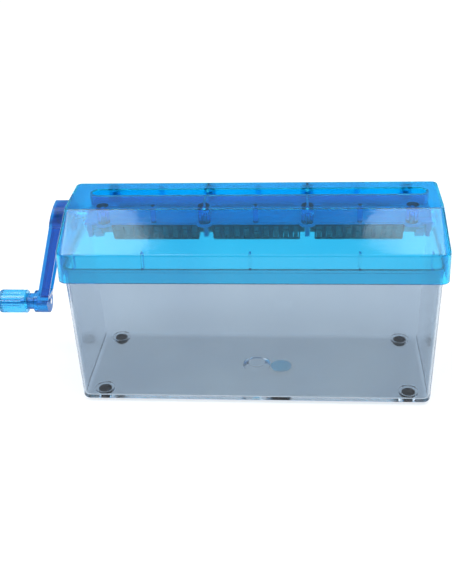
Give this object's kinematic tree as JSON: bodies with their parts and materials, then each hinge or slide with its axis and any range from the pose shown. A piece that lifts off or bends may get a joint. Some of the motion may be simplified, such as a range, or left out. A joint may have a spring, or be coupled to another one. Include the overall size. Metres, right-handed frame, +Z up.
{
  "type": "paper shredder",
  "caption": "Small hand-crank paper shredder: translucent blue cutting head with a long paper slot and geared disc rollers, side crank with turning grip, on a clear catch bin with rubber feet.",
  "frame": {"origin": "on the plane that the rubber feet stand on, under the middle of the whole object's length, crank included; the bin's middle is 32.2 mm towards +X", "axes": "+Z up; X along the paper slot, with the crank at -X; -Y is the front"},
  "size_m": [0.3164, 0.095, 0.1387],
  "materials": {
    "clear_bin": "clear moulded polystyrene, faint smoke blue",
    "blue_clear": "translucent bright blue moulded plastic",
    "foot_rubber": "black moulded rubber",
    "label_paper": "blank white sticker",
    "black_plastic": "black moulded plastic",
    "cutter_steel": "blackened steel discs",
    "white_nylon": "grey moulded nylon",
    "bright_steel": "bright zinc-plated steel"
  },
  "bodies": {
    "bin": {"catch_bin": "clear_bin", "foot_front_left": "foot_rubber", "foot_rear_left": "foot_rubber", "foot_front_right": "foot_rubber", "foot_rear_right": "foot_rubber", "floor_label": "label_paper"},
    "head": {"head_cover": "blue_clear", "cutter_frame": "blue_clear", "shaft_bushes": "white_nylon", "frame_screws": "bright_steel", "comb_front_left": "black_plastic", "comb_front_middle": "black_plastic", "comb_front_right": "black_plastic", "comb_rear_left": "black_plastic", "comb_rear_middle": "black_plastic", "comb_rear_right": "black_plastic"},
    "drive": {"drive_shaft": "bright_steel", "drive_gear_left": "white_nylon", "drive_gear_right": "white_nylon", "drive_shaft_clips": "bright_steel", "crank_arm": "blue_clear", "crank_screw": "bright_steel", "crank_washer": "bright_steel", "grip_axle": "bright_steel", "roller_rear_left": "cutter_steel", "roller_rear_middle": "cutter_steel", "roller_rear_right": "cutter_steel"},
    "driven": {"driven_shaft": "bright_steel", "driven_gear_left": "white_nylon", "driven_gear_right": "white_nylon", "driven_shaft_clips": "bright_steel", "roller_front_left": "cutter_steel", "roller_front_middle": "cutter_steel", "roller_front_right": "cutter_steel"},
    "grip": {"crank_grip": "blue_clear"}
  },
  "joints": [
    {"name": "head_lift", "type": "slide", "parent": "bin", "child": "head", "axis": [0, 0, 1], "range_m": [0, 0.12]},
    {"name": "crank_turn", "type": "hinge", "parent": "head", "child": "drive", "pos_m": [0.0348, 0.0135, 0.118], "axis": [1, 0, 0], "continuous": true},
    {"name": "driven_turn", "type": "hinge", "parent": "head", "child": "driven", "pos_m": [0.0348, -0.0015, 0.118], "axis": [1, 0, 0], "continuous": true},
    {"name": "grip_spin", "type": "hinge", "parent": "drive", "child": "grip", "pos_m": [-0.1478, 0.0135, 0.0482], "axis": [1, 0, 0], "continuous": true}
  ],
  "couplings": [
    {"joint": "driven_turn", "follows": "crank_turn", "ratio": -1}
  ]
}
